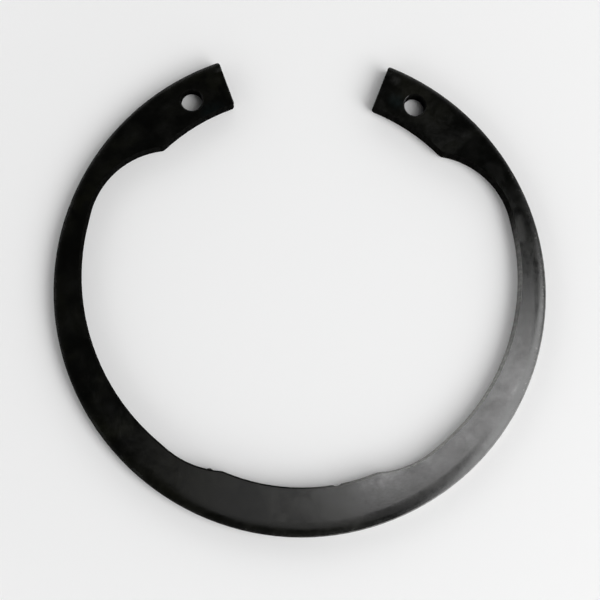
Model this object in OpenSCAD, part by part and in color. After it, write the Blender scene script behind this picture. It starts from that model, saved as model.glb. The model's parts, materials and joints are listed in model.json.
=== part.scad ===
// Internal retaining ring, stamped in one piece from spring steel strip.
// It lies flat with its stamped side up. The origin is the centre of the outer rim on the
// lower face, +Z is up, and +Y points through the middle of the gap.
// Bearings are angles from +X, counterclockwise.

/* [Ring] */
// Outer diameter of the relaxed ring
outer_d = 79.5; // [77:0.5:84]
// Thickness of the strip
thickness = 2.5; // [2:0.1:3]

/* [Arms] */
// Radial width of an arm, a quarter turn from the gap
arm_side_w = 4.2; // [3.8:0.05:4.6]
// Radial width that both arms grow to, opposite the gap and under the pad
arm_back_w = 6.65; // [6.2:0.05:7]

/* [Lugs] */
// Angle between the two end faces
gap_angle = 41.5; // [30:0.5:48]
// Angle that one lug spans
lug_angle = 24.8; // [20:0.2:28]
// Radial height of a lug
lug_h = 7.65; // [7:0.05:8.5]
// Radius of the hollow where a lug runs into its arm
lug_hollow_r = 13.6; // [9:0.1:16]
// Length of the straight run between a hollow and the arc of its arm
hollow_run = 2; // [1.6:0.1:3]
// Radius of the two corners of an end face
end_corner_r = 0.5; // [0.5:0.05:1]

/* [Plier holes] */
// Diameter of a plier hole
hole_d = 3.5; // [2.8:0.1:3.8]
// From the outer rim to the middle of the hole
hole_from_rim = 4.1; // [3.7:0.1:4.5]
// From the end face to the middle of the hole
hole_from_end = 6.4; // [4:0.1:8]

/* [Pad] */
// Angle that the pad spans
pad_angle = 45.5; // [36:0.5:52]
// Radial height of the pad
pad_h = 7.7; // [7.4:0.05:8.5]
// Radius of the hollow where the pad runs into an arm
pad_hollow_r = 15.3; // [12:0.1:18]
// Radius of the shoulder corners of the lugs and the pad
shoulder_r = 1.2; // [0.8:0.1:1.6]

/* [Edges] */
// Width of the roll-over round the outer rim
rim_roll_w = 2.4; // [0.6:0.1:2.8]
// Depth of the roll-over round the outer rim
rim_roll_h = 0.35; // [0.2:0.05:0.5]
// Width of the roll-over along the other upper edges
edge_roll_w = 0.2; // [0.15:0.05:0.4]
// Depth of the roll-over along the other upper edges
edge_roll_h = 0.15; // [0.1:0.05:0.4]
// Size of the broken lower edges
lower_break = 0.12; // [0.05:0.01:0.2]

/* [Marks of use] */
// Bearing of the nick in the pad, from the middle of the pad
nick_angle = 10.5; // [-18:0.5:18]
// Length of the nick
nick_w = 1.4; // [0.8:0.1:2]
// Depth of the nick
nick_depth = 0.25; // [0.15:0.05:0.4]
// Bearing of the burr beside the pad, from the middle of the pad
burr_angle = -26; // [-30:0.5:-25]
// Length of the burr
burr_w = 0.9; // [0.6:0.1:1.4]
// How far the burr stands out of the cut edge
burr_h = 0.2; // [0.1:0.05:0.3]

/* [Hidden] */
steel_black = [0.07, 0.07, 0.065];
$fn = 144;

// Steps in the rounding of the rim and of the other edges
rim_steps = 8;
edge_steps = 3;
// Flats that round a shoulder, and a corner of an end face
shoulder_flats = 2;
end_corner_flats = 3;
// How far the cutters run past the faces, and past the lip of a rounding
past_face = 1;
past_lip = 0.005;
// Depth of the cutters for a corner
corner_depth = 2;
// How much of the opening next to a lug or the pad is left to the cutters that follow its edge,
// and how far all cutters of the inner edge reach inwards
edge_lap = 0.8;
inward_depth = max(lug_h, pad_h) + edge_lap;

rim_r = outer_d / 2;
lug_r = rim_r - lug_h;
pad_r = rim_r - pad_h;
half_gap = gap_angle / 2;
lug_end = half_gap + lug_angle;
origin = [0, 0];

// Nearest thousandth of a millimetre
function fine(v) = round(v * 1000) / 1000;

// The arms taper because their inner edge is one circle, set off towards the gap.
// Its reach from the origin is known to the side and to the back, which fixes both its values.
side_reach = rim_r - arm_side_w;
back_reach = rim_r - arm_back_w;
arm_r = fine((side_reach ^ 2 / back_reach + back_reach) / 2);
arm_centre = [0, fine(arm_r - back_reach)];

// Point at a clockwise angle from the gap's middle line
function off_gap(angle, r) = r * [sin(angle), cos(angle)];
// Bearing of b as seen from a
function bearing(a, b) = atan2(b[1] - a[1], b[0] - a[0]);
// Where two circles meet, on the left (1) or the right (-1) of the way from a to b
function meet(a, a_r, b, b_r, side) =
    let (
        d = norm(b - a),
        u = (b - a) / d,
        along = (d ^ 2 + a_r ^ 2 - b_r ^ 2) / (2 * d),
        across = sqrt(a_r ^ 2 - along ^ 2)
    )
    a + along * u + side * across * [-u[1], u[0]];
// How far a circle's far side lies from the origin, in the direction of a bearing
function reach(centre, r, angle) =
    let (u = [cos(angle), sin(angle)], along = centre * u)
    along + sqrt(r ^ 2 - centre * centre + along ^ 2);
// Radius of the arc with this chord and rise
function arc_radius(chord, rise) = (chord ^ 2 / 4 + rise ^ 2) / (2 * rise);

// Each hollow goes through a corner of its lug or pad, and is joined to the arc of its arm by a
// short straight run that touches both
lug_corner = off_gap(lug_end, lug_r);
pad_corner = off_gap(180 - pad_angle / 2, pad_r);
lug_hollow = meet(arm_centre, norm([arm_r - lug_hollow_r, hollow_run]), lug_corner, lug_hollow_r, -1);
pad_hollow = meet(arm_centre, norm([arm_r - pad_hollow_r, hollow_run]), pad_corner, pad_hollow_r, 1);
// Bearings at which the two runs leave the arc
at_lug_run = bearing(arm_centre, lug_hollow) - atan(hollow_run / (arm_r - lug_hollow_r));
at_pad_run = bearing(arm_centre, pad_hollow) + atan(hollow_run / (arm_r - pad_hollow_r));
// The cutter of a run lies a trace short of both arcs, so that it crosses them a quarter of its
// length from its ends. The arcs go on beside it a little further than that.
run_short = fine((hollow_run / 4) ^ 2 / (2 * arm_r));
past_run = 3 / 8 * hollow_run;
// Centres of the small rounds on those corners
lug_shoulder = meet(origin, lug_r + shoulder_r, lug_hollow, lug_hollow_r + shoulder_r, 1);
pad_shoulder = meet(origin, pad_r + shoulder_r, pad_hollow, pad_hollow_r + shoulder_r, -1);
// Angle that each of those rounds spans
lug_turn = bearing(lug_shoulder, lug_hollow) - bearing(lug_shoulder, origin);
pad_turn = bearing(pad_shoulder, origin) - bearing(pad_shoulder, pad_hollow);
// An arc beside a shoulder runs on past its round, for a third of the way to the sharp corner.
// Here as an angle of that arc.
function past_round(turn, r) = shoulder_r * tan(turn / 2) / 3 / r * 180 / PI;

// Point on the lug, given by its distance from the origin and from the end face
function on_lug(r, inward) =
    sqrt(r ^ 2 - inward ^ 2) * off_gap(half_gap, 1) + inward * off_gap(half_gap + 90, 1);
inner_corner = on_lug(lug_r + end_corner_r, end_corner_r);
outer_corner = on_lug(rim_r - end_corner_r, end_corner_r);
hole_at = on_lug(rim_r - hole_from_rim, hole_from_end);

// Rounding of an upper edge, from the wall up to the face: [cut back from the wall, height]
function roll(w, h, steps) =
    [for (i = [0:steps]) let (a = 90 * i / steps)
        [fine(w * (1 - cos(a))), fine(thickness - h * (1 - sin(a)))]];
// A cut edge from below the lower face to above the upper one, in the same two values.
// Both ends run on in line, so that the faces meet them at an angle.
edge_roll = roll(edge_roll_w, edge_roll_h, edge_steps);
lip = edge_roll[edge_steps];
lip_slope = lip - edge_roll[edge_steps - 1];
lip_end = [fine(lip[0] + lip_slope[0] * past_lip / lip_slope[1]), lip[1] + past_lip];
cut_edge = concat(
    [[lower_break + past_lip, -past_face], [lower_break + past_lip, -past_lip], [0, lower_break]],
    [for (i = [0:edge_steps - 1]) edge_roll[i]],
    [lip_end, [lip_end[0], thickness + past_face]]
);
// Section of a cutter: the cut edge, with side 1 or -1 as the strip lies outside or inside of x,
// and the cutter's own back wall
function cutter(x, side, back) = concat(
    [[back, -past_face]],
    [for (p = cut_edge) [x + side * p[0], p[1]]],
    [[back, thickness + past_face]]
);

// Cuts along an arc of the edge between two bearings, and what is inwards of it
module arc_cut(r, from, to) {
    rotate(from) rotate_extrude(angle = to - from) polygon(cutter(r, 1, max(0, r - inward_depth)));
}

// Cuts along a flat of the edge that faces +X and is centred on the Z axis
module flat_cut(length, depth) {
    rotate([90, 0, 0]) linear_extrude(length, center = true) polygon(cutter(0, -1, depth));
}

// Rounds a corner with flats that touch its circle between two bearings
module corner_cut(centre, r, from, to, flats) {
    step = (to - from) / flats;
    for (i = [0:flats - 1])
        translate(centre) rotate(from + (i + 0.5) * step) translate([r, 0, 0])
            flat_cut(2 * corner_depth, corner_depth);
}

module both_sides() {
    children();
    mirror([1, 0, 0]) children();
}

// Disc with the rolled outer rim
module blank() {
    rotate_extrude() polygon(concat(
        [[0, 0], [rim_r - lower_break, 0], [rim_r, lower_break]],
        [for (p = roll(rim_roll_w, rim_roll_h, rim_steps)) [rim_r - p[0], p[1]]],
        [[0, thickness]]
    ));
}

// Half a disc, through the strip, on the side of the gap (0) or of the pad (180)
module half_disc_cut(r, side) {
    rotate(side) translate([0, 0, -past_face])
        rotate_extrude(angle = 180) square([r, thickness + 2 * past_face]);
}

// The middle of the opening and of the gap, short of the lugs and the pad
module core_cut() {
    apex = [0, edge_lap / sin(half_gap)];
    far = 2 * rim_r;
    half_disc_cut(lug_r - edge_lap, 0);
    half_disc_cut(pad_r - edge_lap, 180);
    translate([0, 0, -past_face]) linear_extrude(thickness + 2 * past_face)
        polygon([apex, apex + off_gap(half_gap, far), apex + off_gap(-half_gap, far)]);
}

// Inner edge of an arm
module arm_cut() {
    past = past_run / arm_r * 180 / PI;
    translate(arm_centre) arc_cut(arm_r, at_pad_run - past, at_lug_run + past);
}

// Hollow between an arm and its lug
module lug_hollow_cut() {
    from = at_lug_run - past_run / lug_hollow_r * 180 / PI;
    to = bearing(lug_hollow, lug_shoulder) + past_round(lug_turn, lug_hollow_r);
    translate(lug_hollow) arc_cut(lug_hollow_r, from, to);
}

// Hollow between an arm and the pad
module pad_hollow_cut() {
    from = bearing(pad_hollow, pad_shoulder) - past_round(pad_turn, pad_hollow_r);
    to = at_pad_run + past_run / pad_hollow_r * 180 / PI;
    translate(pad_hollow) arc_cut(pad_hollow_r, from, to);
}

// Straight run that leaves the arc of an arm at a bearing, on towards the lug (1) or the pad (-1)
module run_cut(at, way) {
    translate(arm_centre) rotate(at) translate([arm_r - run_short, way * hollow_run / 2, 0])
        rotate(180) flat_cut(hollow_run, inward_depth);
}

// Inner ends of both lugs, in one arc across the gap
module lug_tops_cut() {
    from = bearing(origin, lug_shoulder) - past_round(lug_turn, lug_r);
    arc_cut(lug_r, from, 180 - from);
}

// Inner face of the pad
module pad_top_cut() {
    to = bearing(origin, pad_shoulder) + past_round(pad_turn, pad_r);
    arc_cut(pad_r, -180 - to, to);
}

// Flat end face of a lug
module end_face_cut() {
    translate(off_gap(half_gap, (lug_r + rim_r) / 2)) rotate(180 - half_gap)
        flat_cut(lug_h + 2 * corner_depth, corner_depth);
}

// The small rounds of one side: two on the end face, and the shoulders of the lug and the pad
module corner_cuts() {
    into_gap = 180 - half_gap;
    corner_cut(outer_corner, end_corner_r, bearing(origin, outer_corner), into_gap, end_corner_flats);
    corner_cut(inner_corner, end_corner_r, into_gap, 360 + bearing(inner_corner, origin),
        end_corner_flats);
    corner_cut(lug_shoulder, shoulder_r, bearing(lug_shoulder, origin),
        bearing(lug_shoulder, lug_hollow), shoulder_flats);
    corner_cut(pad_shoulder, shoulder_r, bearing(pad_shoulder, pad_hollow),
        bearing(pad_shoulder, origin), shoulder_flats);
}

// Plier hole, with the same rounding on its lip
module plier_hole() {
    translate(hole_at) rotate_extrude() polygon(cutter(hole_d / 2, 1, 0));
}

// Small nick bitten out of the pad's inner edge
module nick() {
    r = arc_radius(nick_w, nick_depth);
    rotate(nick_angle - 90) translate([pad_r + nick_depth - r, 0, -past_face])
        cylinder(r = r, h = thickness + 2 * past_face);
}

// Small burr left standing beside the pad, on the flat of the cut edge
module burr() {
    r = arc_radius(burr_w, burr_h);
    edge = reach([-pad_hollow[0], pad_hollow[1]], pad_hollow_r, burr_angle - 90);
    rotate(burr_angle - 90) translate([edge - burr_h + r, 0, 2 * lower_break])
        cylinder(r = r, h = thickness - 2 * edge_roll_h - 2 * lower_break);
}

// The strip after each cut of the stamping, in the order of their names
module opened() {
    difference() {
        blank();
        core_cut();
    }
}

module with_arms() {
    difference() {
        opened();
        both_sides() arm_cut();
    }
}

module with_hollows() {
    difference() {
        with_arms();
        both_sides() {
            lug_hollow_cut();
            pad_hollow_cut();
        }
    }
}

module with_runs() {
    difference() {
        with_hollows();
        both_sides() {
            run_cut(at_lug_run, 1);
            run_cut(at_pad_run, -1);
        }
    }
}

module with_lugs_and_pad() {
    difference() {
        with_runs();
        lug_tops_cut();
        pad_top_cut();
    }
}

module with_ends() {
    difference() {
        with_lugs_and_pad();
        both_sides() end_face_cut();
    }
}

module with_corners() {
    difference() {
        with_ends();
        both_sides() corner_cuts();
    }
}

module retaining_ring() {
    color(steel_black) {
        difference() {
            with_corners();
            both_sides() plier_hole();
            nick();
        }
        burr();
    }
}

retaining_ring();
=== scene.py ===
"""Looks of the internal retaining ring: black oxide, pale floor, soft studio light, camera."""
import json
import math

import bpy
from mathutils import Matrix, Vector


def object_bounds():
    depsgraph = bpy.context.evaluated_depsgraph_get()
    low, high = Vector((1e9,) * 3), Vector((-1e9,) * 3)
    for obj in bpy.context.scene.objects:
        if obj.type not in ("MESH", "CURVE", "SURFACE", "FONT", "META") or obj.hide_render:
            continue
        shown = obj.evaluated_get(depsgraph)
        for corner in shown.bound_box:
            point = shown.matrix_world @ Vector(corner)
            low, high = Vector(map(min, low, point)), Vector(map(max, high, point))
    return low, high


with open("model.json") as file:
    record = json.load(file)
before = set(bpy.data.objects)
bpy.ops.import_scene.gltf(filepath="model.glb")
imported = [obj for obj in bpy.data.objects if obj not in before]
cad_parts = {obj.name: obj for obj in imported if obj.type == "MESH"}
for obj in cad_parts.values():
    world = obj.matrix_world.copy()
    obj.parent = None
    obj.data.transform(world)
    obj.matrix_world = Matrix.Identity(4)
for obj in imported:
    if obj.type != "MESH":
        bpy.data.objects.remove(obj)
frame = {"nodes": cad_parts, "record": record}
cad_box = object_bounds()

MM = 0.001

# Ring: its box reaches the rim opposite the gap, in -Y, and the upper face
RIM_RADIUS, RING_TOP = -cad_box[0][1], cad_box[1][2]

# Camera: almost straight above the ring, a little towards the pad and to the left, rolled by
# under half a degree; lens and sensor in millimetres, nearest and furthest sight in metres
EYE = Vector((-9.86, -27.84, 188.70)) * MM
AIM = Vector((-0.382 * MM, -2.233 * MM, RING_TOP))
ROLL = 0.455
LENS, SENSOR = 70.256, 36
NEAREST, FURTHEST = 0.01, 50

# Surroundings: brightness to the sides and overhead, the heights between which it changes on a
# sky of radius one, and how far off the lamps stand, in metres
SIDES, OVERHEAD = 1.5, 0.01
SIDES_UP_TO, OVERHEAD_FROM = 0.3, 0.75
LAMP_DISTANCE = 1.0

# Floor, in metres: half its side, its depth below the ring, and the distances from the middle
# between which the camera sees it turn plain white
FLOOR_HALF, FLOOR_DEPTH = 6.0, 0.02 * MM
FLOOR_COLOUR, FLOOR_ROUGHNESS = (0.92, 0.92, 0.92), 0.8
WHITE_FROM, WHITE_TO = 0.05, 0.16

# Edge angles in degrees from which shading breaks: anywhere, and at a lip beside the flat face,
# where the faces on both sides slope by no more than the last value on average
STEEP_EDGE, LIP_EDGE, FLAT_TO = 44, 8, 10
# Slopes in degrees from which a face counts as cut, outside and inside
OUTER_CUT_FROM, INNER_CUT_FROM = 18, 10.5
# The plane of an inner face passes the ring's axis further off than this, an end face's nearer
INNER_REACH = 5 * MM
# Corners of the mesh closer than this are joined
JOIN_WITHIN = 0.001 * MM
# How strongly large faces pull the normals where faces meet: 50 is by area alone, 100 the most
LARGE_FACE_WEIGHT = 100

# Slopes in degrees between which the face turns into the roll, and the roll into a cut edge
ROLL_SLOPES, CUT_SLOPES = (2, 12), (14, 40)
SPECULAR, OUTER_CUT_SPECULAR, INNER_CUT_SPECULAR = 0.75, 0.2, 0.0
FACE_ROUGHNESS, ROLL_ROUGHNESS = 0.16, 0.245
CUT_ROUGHNESS, STREAK_ROUGHNESS = 0.95, 0.75
# How far the patches, clouds and flecks raise or lower the roughness
PATCH_SPREAD, CLOUD_SPREAD, FLECK_SPREAD = 0.03, 0.04, 0.035
CLOUD_RELIEF, GRAIN_RELIEF, STREAK_RELIEF = 0.008 * MM, 0.003 * MM, 0.05 * MM

# Noise scales per metre: patches of about 11 mm, clouds of 4, flecks of 1, and fine grain and
# streaks of under half a millimetre
PATCHES, CLOUDS, FLECKS, GRAIN, STREAKS = 90, 260, 900, 3200, 2600
# Share of their scale that the streaks have up the wall, which makes them long and upright
UPRIGHT_SCALE = 0.12
# Values of a noise between which something comes in
USUAL_RANGE, BREAK_UP_RANGE, STREAK_RANGE = (0.3, 0.7), (0.35, 0.65), (0.35, 0.7)
OLIVE_RANGE, PALE_RANGE, SPECK_RANGE = (0.42, 0.68), (0.38, 0.66), (0.58, 0.72)

# Colours of the oxide's clouds, and of bright specks on the roll
DARK_CLOUD, PALE_CLOUD = (0.0011, 0.0012, 0.0009), (0.0025, 0.0026, 0.0021)
OLIVE_CLOUD, SPECK = (0.0027, 0.0029, 0.0012), (0.11, 0.11, 0.10)
# Colours of the cut edges, beside their streaks and in them: dark, then pale and palest, which are
# painted reflection
DARK_CUT = (0.0020, 0.0020, 0.0018), (0.0065, 0.0065, 0.0060)
PAINTED_REFLECTION_CUT = (0.10, 0.10, 0.098), (0.18, 0.18, 0.176)
BRIGHTEST_PAINTED_REFLECTION_CUT = (0.18, 0.18, 0.176), (0.28, 0.28, 0.272)
# Three tints lie on the oxide: a pale grey that is painted sheen and highlight, and faint blue and
# olive stains
PAINTED_SHEEN, BLUE, OLIVE = (0.020, 0.020, 0.019), (0.004, 0.007, 0.007), (0.006, 0.006, 0.004)
# Share of a mark that the flecks break up
BREAK_UP = 0.7

# Where colour is laid on, starting and full: bright specks on the roll by X, painted reflection on
# the
# # cut edges by X and by Y, and by Y too where that is brightest
SPECKS_X = (30 * MM, 38 * MM)
PAINTED_REFLECTION_X, PAINTED_REFLECTION_Y, BRIGHTEST_REFLECTION_Y = (-4 * MM, 20 * MM), (14 * MM, 2 * MM), (-2 * MM, -16 * MM)


def facing(back, turn):
    """Rotation whose Z axis is back, with Y up the picture, turned about Z by some degrees."""
    z = back.normalized()
    x = Vector((0, 1, 0)).cross(z).normalized()
    y = z.cross(x)
    angle = math.radians(turn)
    x, y = math.cos(angle) * x + math.sin(angle) * y, math.cos(angle) * y - math.sin(angle) * x
    return Matrix((x, y, z)).transposed().to_4x4()


def make_camera():
    data = bpy.data.cameras.new("camera")
    camera = bpy.data.objects.new("camera", data)
    bpy.context.scene.collection.objects.link(camera)
    camera.matrix_world = Matrix.Translation(EYE) @ facing(EYE - AIM, ROLL)
    data.sensor_width = SENSOR
    data.lens = LENS
    data.clip_start, data.clip_end = NEAREST, FURTHEST
    bpy.context.scene.camera = camera


# Node helpers
def new_tree(owner):
    owner.use_nodes = True
    tree = owner.node_tree
    tree.nodes.clear()
    return tree


def normal_z(slope):
    """Z of the normal of a face that slopes by this many degrees."""
    return math.cos(math.radians(slope))


class Graph:
    """Short names for the few kinds of node that the materials and the modifier use."""

    def __init__(self, tree):
        self.tree = tree

    def node(self, kind, **settings):
        made = self.tree.nodes.new(kind)
        for key, value in settings.items():
            setattr(made, key, value)
        return made

    def put(self, socket, value):
        if isinstance(value, bpy.types.NodeSocket):
            self.tree.links.new(value, socket)
        else:
            socket.default_value = value

    def from_two(self, kind, operation, a, b):
        """Result of a node that works on two values."""
        made = self.node(kind, operation=operation)
        self.put(made.inputs[0], a)
        self.put(made.inputs[1], b)
        return made.outputs[0]

    def math(self, operation, a, b=0.0):
        return self.from_two("ShaderNodeMath", operation, a, b)

    def compare(self, operation, a, b):
        return self.from_two("FunctionNodeCompare", operation, a, b)

    def both(self, a, b):
        return self.from_two("FunctionNodeBooleanMath", "AND", a, b)

    def either(self, a, b):
        return self.from_two("FunctionNodeBooleanMath", "OR", a, b)

    def remap(self, value, lo, hi, to_lo=0.0, to_hi=1.0, smooth=False):
        made = self.node("ShaderNodeMapRange")
        if smooth:
            made.interpolation_type = "SMOOTHSTEP"
        for socket, v in zip(made.inputs[:5], (value, lo, hi, to_lo, to_hi)):
            self.put(socket, v)
        return made.outputs[0]

    def by_slope(self, upright, start, end):
        """Nothing up to the first slope and one from the second on, from a normal's Z."""
        return self.remap(upright, normal_z(start), normal_z(end), smooth=True)

    def spread(self, noise, amount):
        """The noise as a change of up to this amount, down or up."""
        return self.remap(noise, *USUAL_RANGE, -amount, amount)

    def mix_number(self, factor, a, b):
        made = self.node("ShaderNodeMix", data_type="FLOAT")
        for socket, v in zip((made.inputs[0], made.inputs[2], made.inputs[3]), (factor, a, b)):
            self.put(socket, v)
        return made.outputs[0]

    def mix(self, factor, a, b):
        """Mix of two colours, each a socket or plain red, green and blue."""
        made = self.node("ShaderNodeMix", data_type="RGBA")
        self.put(made.inputs[0], factor)
        for socket, colour in ((made.inputs[6], a), (made.inputs[7], b)):
            self.put(socket, (*colour, 1) if isinstance(colour, tuple) else colour)
        return made.outputs[2]

    def split(self, vector):
        """X, Y and Z of a vector."""
        made = self.node("ShaderNodeSeparateXYZ")
        self.put(made.inputs[0], vector)
        return made.outputs

    def noise(self, where, scale, detail=2.0, roughness=0.5, distortion=0.0):
        made = self.node("ShaderNodeTexNoise")
        self.put(made.inputs["Vector"], where)
        for name, v in (("Scale", scale), ("Detail", detail), ("Roughness", roughness),
                        ("Distortion", distortion)):
            made.inputs[name].default_value = v
        return made.outputs[0]

    def spot(self, where, centre, radius):
        """One at a place on the ring, fading to nothing at the radius."""
        away = self.node("ShaderNodeVectorMath", operation="DISTANCE")
        self.put(away.inputs[0], where)
        away.inputs[1].default_value = centre
        return self.remap(away.outputs["Value"], 0, radius, 1, 0, smooth=True)

    def bump(self, height):
        """Normal of a surface with this relief, which is in metres."""
        made = self.node("ShaderNodeBump")
        self.put(made.inputs["Height"], height)
        made.inputs["Distance"].default_value = 1.0
        return made.outputs[0]


def new_finish(name, specular):
    """A material, its graph and its shader, with the shader on the output."""
    material = bpy.data.materials.new(name)
    g = Graph(new_tree(material))
    out = g.node("ShaderNodeOutputMaterial")
    shader = g.node("ShaderNodeBsdfPrincipled")
    g.put(out.inputs[0], shader.outputs[0])
    shader.inputs["Specular IOR Level"].default_value = specular
    return material, g, shader


# Ring
def marks():
    """Centre, radius and tint of each mark, placed from the plier holes and the rim."""
    mounts = {m["name"]: Vector(m["pos_m"]) for m in frame["record"]["mounts"]}

    def beside(hole, to_gap, outwards):
        """Place this many mm from a hole, towards the gap and away from the ring's axis."""
        place = mounts[hole].copy()
        out = Vector((place.x, place.y, 0)).normalized()
        side = math.copysign(1, place.x)
        along = Vector((-side * out.y, side * out.x, 0))
        place += along * to_gap * MM + out * outwards * MM
        place.z = RING_TOP
        return place

    def inside_rim(bearing, depth):
        """Place at a bearing from +X in degrees, this many mm inside the rim."""
        turn = math.radians(bearing)
        reach = RIM_RADIUS - depth * MM
        return Vector((reach * math.cos(turn), reach * math.sin(turn), RING_TOP))

    left_stain = (beside("plier_hole_left", 2, -4), 3 * MM, BLUE)
    right_film = (beside("plier_hole_right", 1, 2), 6 * MM, OLIVE)
    # Painted highlight where the right lug's rolled corner catches light
    painted_corner_highlight = (beside("plier_hole_right", 5, 2), 1.2 * MM, PAINTED_SHEEN)
    right_stain = (beside("plier_hole_right", 3, -1), 2 * MM, BLUE)
    # Painted sheen on the arm at the right, on its inner half
    painted_arm_sheen = (inside_rim(15, 4.5), 4.5 * MM, PAINTED_SHEEN)
    pad_film_left = (inside_rim(-120, 4), 13 * MM, OLIVE)
    pad_film = (inside_rim(-85, 4), 13 * MM, OLIVE)
    return left_stain, right_film, painted_corner_highlight, right_stain, painted_arm_sheen, pad_film_left, pad_film


def black_oxide():
    """Satin black oxide of the faces and rolls: cloudy, finely grained, with a faint olive tint."""
    material, g, shader = new_finish("black_oxide", SPECULAR)
    where = g.node("ShaderNodeTexCoord").outputs["Object"]
    clouds = g.noise(where, CLOUDS, detail=3.0, roughness=0.55, distortion=0.4)
    patches = g.noise(where, PATCHES, detail=2.0, roughness=0.5, distortion=0.8)
    flecks = g.noise(where, FLECKS, detail=3.0, roughness=0.65, distortion=0.6)
    grain = g.noise(where, GRAIN, detail=2.0, roughness=0.6)

    # The rolls are duller than the flat face
    upright = g.split(g.node("ShaderNodeNewGeometry").outputs["Normal"])["Z"]
    rolled = g.by_slope(upright, *ROLL_SLOPES)
    base = g.mix_number(g.by_slope(upright, *CUT_SLOPES),
                        g.mix_number(rolled, FACE_ROUGHNESS, ROLL_ROUGHNESS), CUT_ROUGHNESS)
    unevenness = g.math("ADD", g.spread(flecks, FLECK_SPREAD),
                        g.math("ADD", g.spread(clouds, CLOUD_SPREAD),
                               g.spread(patches, PATCH_SPREAD)))
    g.put(shader.inputs["Roughness"], g.math("ADD", base, unevenness))

    olive = g.remap(patches, *OLIVE_RANGE, smooth=True)
    pale = g.mix(olive, PALE_CLOUD, OLIVE_CLOUD)
    colour = g.mix(g.remap(clouds, *PALE_RANGE, smooth=True), DARK_CLOUD, pale)
    # Bright specks on the roll of the arm on the right
    to_right = g.remap(g.split(where)["X"], *SPECKS_X, smooth=True)
    specks = g.math("MULTIPLY", g.remap(grain, *SPECK_RANGE), g.math("MULTIPLY", rolled, to_right))
    colour = g.mix(specks, colour, SPECK)
    # Marks: stains, and the painted sheen and highlight
    for centre, radius, tint in marks():
        whole = g.spot(where, centre, radius)
        part = g.math("MULTIPLY", whole, g.remap(flecks, *BREAK_UP_RANGE, 1 - BREAK_UP, 1))
        colour = g.mix(part, colour, tint)
    g.put(shader.inputs["Base Color"], colour)

    relief = g.math("ADD", g.math("MULTIPLY", clouds, CLOUD_RELIEF),
                    g.math("MULTIPLY", grain, GRAIN_RELIEF))
    g.put(shader.inputs["Normal"], g.bump(relief))
    return material


def sheared_edge(name, specular):
    """Dull torn steel of the cut edges, with fine upright streaks from the die."""
    material, g, shader = new_finish(name, specular)
    where = g.node("ShaderNodeTexCoord").outputs["Object"]
    stretched = g.node("ShaderNodeMapping")
    g.put(stretched.inputs["Vector"], where)
    stretched.inputs["Scale"].default_value = (1, 1, UPRIGHT_SCALE)
    streaks = g.noise(stretched.outputs[0], STREAKS, detail=2.0, roughness=0.6)
    streaky = g.remap(streaks, *STREAK_RANGE)
    # Painted reflection: cut edges pale at the lower right, on the arm and on the pad's right half
    place = g.split(where)
    to_right = g.remap(place["X"], *PAINTED_REFLECTION_X, smooth=True)
    below = g.remap(place["Y"], *PAINTED_REFLECTION_Y, smooth=True)
    lowest = g.remap(place["Y"], *BRIGHTEST_REFLECTION_Y, smooth=True)
    # Pale and palest painted reflection, mixed by height
    painted_reflection = g.mix(lowest, g.mix(streaky, *PAINTED_REFLECTION_CUT), g.mix(streaky, *BRIGHTEST_PAINTED_REFLECTION_CUT))
    colour = g.mix(g.math("MULTIPLY", to_right, below), g.mix(streaky, *DARK_CUT), painted_reflection)
    g.put(shader.inputs["Base Color"], colour)
    roughness = g.remap(streaks, *USUAL_RANGE, CUT_ROUGHNESS, STREAK_ROUGHNESS)
    g.put(shader.inputs["Roughness"], roughness)
    g.put(shader.inputs["Normal"], g.bump(g.math("MULTIPLY", streaks, STREAK_RELIEF)))
    return material


def sharp_edges(g, upright):
    """Steep edges, and the border of the flat face where a lip starts beside it."""
    angle = g.node("GeometryNodeInputMeshEdgeAngle").outputs[0]
    steep = g.compare("GREATER_THAN", angle, math.radians(STEEP_EDGE))
    lip = g.compare("GREATER_THAN", angle, math.radians(LIP_EDGE))
    both_sides = g.node("GeometryNodeFieldOnDomain", data_type="FLOAT", domain="FACE")
    g.put(both_sides.inputs[0], upright)
    flat = g.compare("GREATER_THAN", both_sides.outputs[0], normal_z(FLAT_TO))
    return g.either(steep, g.both(lip, flat))


def cut_faces(g, normal, upright):
    """Faces that the die cut: all of them, and those that look back at the ring's axis."""
    level = g.node("ShaderNodeVectorMath", operation="MULTIPLY")
    g.put(level.inputs[0], g.node("GeometryNodeInputPosition").outputs[0])
    level.inputs[1].default_value = (1, 1, 0)
    outwards = g.node("ShaderNodeVectorMath", operation="DOT_PRODUCT")
    g.put(outwards.inputs[0], normal)
    g.put(outwards.inputs[1], level.outputs[0])
    inside = g.compare("LESS_THAN", outwards.outputs["Value"], -INNER_REACH)
    up_or_down = g.math("ABSOLUTE", upright)
    cut = g.compare("LESS_THAN", up_or_down, normal_z(OUTER_CUT_FROM))
    cut_inside = g.both(inside, g.compare("LESS_THAN", up_or_down, normal_z(INNER_CUT_FROM)))
    return cut, cut_inside


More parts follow.
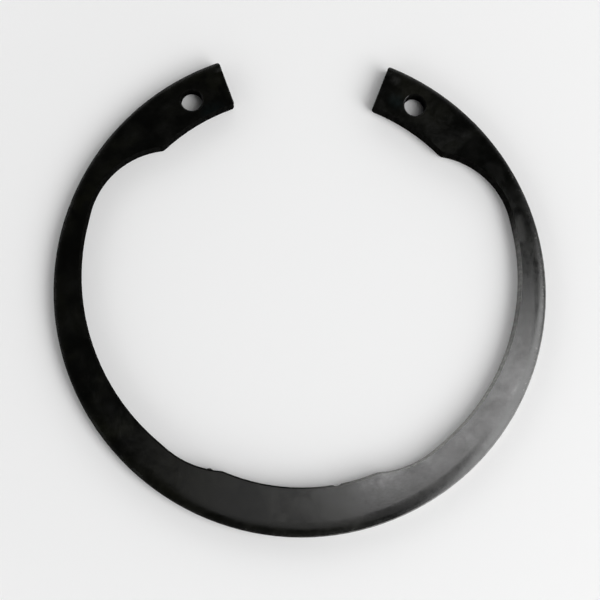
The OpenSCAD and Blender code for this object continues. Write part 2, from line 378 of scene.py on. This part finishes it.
def smooth_rolls(ring, outer_edge, inner_edge):
    """Shades the rolled edges smooth and the steep ones sharp, and gives the cut faces their own
    finishes, outside and inside. It works in modifiers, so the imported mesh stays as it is."""
    tree = bpy.data.node_groups.new("smooth_rolls", "GeometryNodeTree")
    tree.interface.new_socket("Geometry", in_out="INPUT", socket_type="NodeSocketGeometry")
    tree.interface.new_socket("Geometry", in_out="OUTPUT", socket_type="NodeSocketGeometry")
    g = Graph(tree)
    start, end = g.node("NodeGroupInput"), g.node("NodeGroupOutput")
    normal = g.node("GeometryNodeInputNormal").outputs[0]
    upright = g.split(normal)["Z"]
    join = g.node("GeometryNodeMergeByDistance")
    g.put(join.inputs["Geometry"], start.outputs[0])
    join.inputs["Distance"].default_value = JOIN_WITHIN
    smooth = g.node("GeometryNodeSetShadeSmooth", domain="FACE")
    g.put(smooth.inputs["Geometry"], join.outputs[0])
    smooth.inputs["Shade Smooth"].default_value = True
    edges = g.node("GeometryNodeSetShadeSmooth", domain="EDGE")
    g.put(edges.inputs["Geometry"], smooth.outputs[0])
    g.put(edges.inputs["Selection"], sharp_edges(g, upright))
    edges.inputs["Shade Smooth"].default_value = False
    last = edges.outputs[0]
    for chosen, material in zip(cut_faces(g, normal, upright), (outer_edge, inner_edge)):
        finish = g.node("GeometryNodeSetMaterial")
        g.put(finish.inputs["Geometry"], last)
        g.put(finish.inputs["Selection"], chosen)
        finish.inputs["Material"].default_value = material
        last = finish.outputs[0]
    g.put(end.inputs[0], last)
    modifier = ring.modifiers.new("smooth_rolls", "NODES")
    modifier.node_group = tree
    weighted = ring.modifiers.new("weighted", "WEIGHTED_NORMAL")
    weighted.mode = "FACE_AREA"
    weighted.keep_sharp = True
    weighted.weight = LARGE_FACE_WEIGHT


def dress_ring():
    ring = frame["nodes"]["retaining_ring"]
    ring.data.materials.clear()
    ring.data.materials.append(black_oxide())
    outer_edge = sheared_edge("outer_edge", OUTER_CUT_SPECULAR)
    inner_edge = sheared_edge("inner_edge", INNER_CUT_SPECULAR)
    smooth_rolls(ring, outer_edge, inner_edge)


# Surroundings
def make_floor():
    """Pale floor that the camera sees turn plain white away from the ring."""
    half = FLOOR_HALF
    mesh = bpy.data.meshes.new("floor")
    mesh.from_pydata([(-half, -half, 0), (half, -half, 0), (half, half, 0), (-half, half, 0)],
                     [], [(0, 1, 2, 3)])
    floor = bpy.data.objects.new("floor", mesh)
    floor.location.z = -FLOOR_DEPTH
    bpy.context.scene.collection.objects.link(floor)
    material = bpy.data.materials.new("floor")
    g = Graph(new_tree(material))
    out = g.node("ShaderNodeOutputMaterial")
    shader = g.node("ShaderNodeBsdfPrincipled")
    shader.inputs["Base Color"].default_value = (*FLOOR_COLOUR, 1)
    shader.inputs["Roughness"].default_value = FLOOR_ROUGHNESS
    white = g.node("ShaderNodeEmission")
    distance = g.node("ShaderNodeVectorMath", operation="LENGTH")
    g.put(distance.inputs[0], g.node("ShaderNodeTexCoord").outputs["Object"])
    far = g.remap(distance.outputs["Value"], WHITE_FROM, WHITE_TO, smooth=True)
    seen = g.math("MULTIPLY", far, g.node("ShaderNodeLightPath").outputs["Is Camera Ray"])
    blend = g.node("ShaderNodeMixShader")
    for socket, v in zip(blend.inputs, (seen, shader.outputs[0], white.outputs[0])):
        g.put(socket, v)
    g.put(out.inputs[0], blend.outputs[0])
    mesh.materials.append(material)


def soft_box(name, right, up, half_wide, half_high, turn, radiance):
    """Rectangular lamp that faces the ring. Its place and half sizes are angles in degrees, seen
    from the ring: to the right and to the top of the picture, from straight above."""
    way = Vector((math.tan(math.radians(right)), math.tan(math.radians(up)), 1)).normalized()
    data = bpy.data.lights.new(name, "AREA")
    data.shape = "RECTANGLE"
    data.size = 2 * LAMP_DISTANCE * math.tan(math.radians(half_wide))
    data.size_y = 2 * LAMP_DISTANCE * math.tan(math.radians(half_high))
    data.energy = radiance * math.pi * data.size * data.size_y
    lamp = bpy.data.objects.new(name, data)
    lamp.matrix_world = Matrix.Translation(LAMP_DISTANCE * way) @ facing(way, turn)
    bpy.context.scene.collection.objects.link(lamp)


def make_world():
    """White to the sides and dark overhead; what the camera sees of it is plain white."""
    world = bpy.data.worlds.new("studio")
    bpy.context.scene.world = world
    g = Graph(new_tree(world))
    out = g.node("ShaderNodeOutputWorld")
    background = g.node("ShaderNodeBackground")
    background.inputs["Color"].default_value = (1, 1, 1, 1)
    height = g.split(g.node("ShaderNodeTexCoord").outputs["Generated"])["Z"]
    strength = g.remap(height, SIDES_UP_TO, OVERHEAD_FROM, SIDES, OVERHEAD, smooth=True)
    camera_ray = g.node("ShaderNodeLightPath").outputs["Is Camera Ray"]
    g.put(background.inputs["Strength"], g.mix_number(camera_ray, strength, 1.0))
    g.put(out.inputs[0], background.outputs[0])


dress_ring()
make_camera()
make_floor()
make_world()
soft_box("key", right=42, up=-23, half_wide=14.5, half_high=28.5, turn=35, radiance=4.25)
soft_box("strip", right=12.5, up=2, half_wide=8, half_high=4, turn=16, radiance=4.5)
soft_box("low", right=16, up=-10.5, half_wide=21, half_high=6.5, turn=-12.5, radiance=0.4)

bpy.context.scene.view_settings.view_transform = "Standard"
